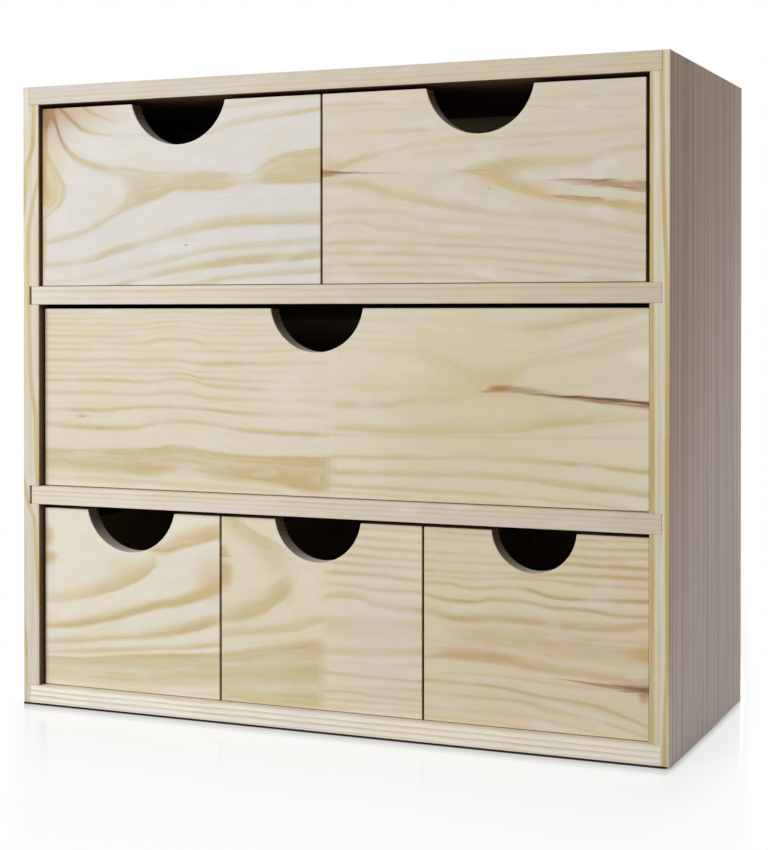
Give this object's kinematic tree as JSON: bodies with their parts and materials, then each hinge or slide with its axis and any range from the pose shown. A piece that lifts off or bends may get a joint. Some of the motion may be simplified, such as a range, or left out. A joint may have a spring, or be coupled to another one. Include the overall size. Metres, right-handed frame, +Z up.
{
  "type": "tabletop drawer chest",
  "caption": "Small pine chest for a table top, with drawers in rows that pull out by half-round finger notches in their front boards.",
  "frame": {"origin": "middle of the underside, where the chest stands", "axes": "+Z up, -Y out of the front, +X to the right as seen from the front"},
  "size_m": [0.33, 0.145, 0.3081],
  "materials": {
    "side_pine": "planed bare pine, grain upright",
    "board_pine": "planed bare pine, grain across",
    "front_pine": "sanded bare pine, grain across",
    "box_pine": "planed bare pine",
    "plywood": "bare rotary-cut plywood",
    "pin_steel": "plain bright steel"
  },
  "bodies": {
    "case": {"left_side": "side_pine", "right_side": "side_pine", "top_panel": "board_pine", "bottom_panel": "board_pine", "upper_shelf": "board_pine", "lower_shelf": "board_pine", "back_panel": "plywood", "back_pins": "pin_steel"},
    "top_left_drawer": {"top_left_drawer_front": "front_pine", "top_left_drawer_left_side": "box_pine", "top_left_drawer_right_side": "box_pine", "top_left_drawer_back": "box_pine", "top_left_drawer_bottom": "plywood"},
    "top_right_drawer": {"top_right_drawer_front": "front_pine", "top_right_drawer_left_side": "box_pine", "top_right_drawer_right_side": "box_pine", "top_right_drawer_back": "box_pine", "top_right_drawer_bottom": "plywood"},
    "middle_drawer": {"middle_drawer_front": "front_pine", "middle_drawer_left_side": "box_pine", "middle_drawer_right_side": "box_pine", "middle_drawer_back": "box_pine", "middle_drawer_bottom": "plywood"},
    "bottom_left_drawer": {"bottom_left_drawer_front": "front_pine", "bottom_left_drawer_left_side": "box_pine", "bottom_left_drawer_right_side": "box_pine", "bottom_left_drawer_back": "box_pine", "bottom_left_drawer_bottom": "plywood"},
    "bottom_middle_drawer": {"bottom_middle_drawer_front": "front_pine", "bottom_middle_drawer_left_side": "box_pine", "bottom_middle_drawer_right_side": "box_pine", "bottom_middle_drawer_back": "box_pine", "bottom_middle_drawer_bottom": "plywood"},
    "bottom_right_drawer": {"bottom_right_drawer_front": "front_pine", "bottom_right_drawer_left_side": "box_pine", "bottom_right_drawer_right_side": "box_pine", "bottom_right_drawer_back": "box_pine", "bottom_right_drawer_bottom": "plywood"}
  },
  "joints": [
    {"name": "top_left_drawer_slide", "type": "slide", "parent": "case", "child": "top_left_drawer", "axis": [0, -1, 0], "range_m": [0, 0.1]},
    {"name": "top_right_drawer_slide", "type": "slide", "parent": "case", "child": "top_right_drawer", "axis": [0, -1, 0], "range_m": [0, 0.1]},
    {"name": "middle_drawer_slide", "type": "slide", "parent": "case", "child": "middle_drawer", "axis": [0, -1, 0], "range_m": [0, 0.1]},
    {"name": "bottom_left_drawer_slide", "type": "slide", "parent": "case", "child": "bottom_left_drawer", "axis": [0, -1, 0], "range_m": [0, 0.1]},
    {"name": "bottom_middle_drawer_slide", "type": "slide", "parent": "case", "child": "bottom_middle_drawer", "axis": [0, -1, 0], "range_m": [0, 0.1]},
    {"name": "bottom_right_drawer_slide", "type": "slide", "parent": "case", "child": "bottom_right_drawer", "axis": [0, -1, 0], "range_m": [0, 0.1]}
  ]
}
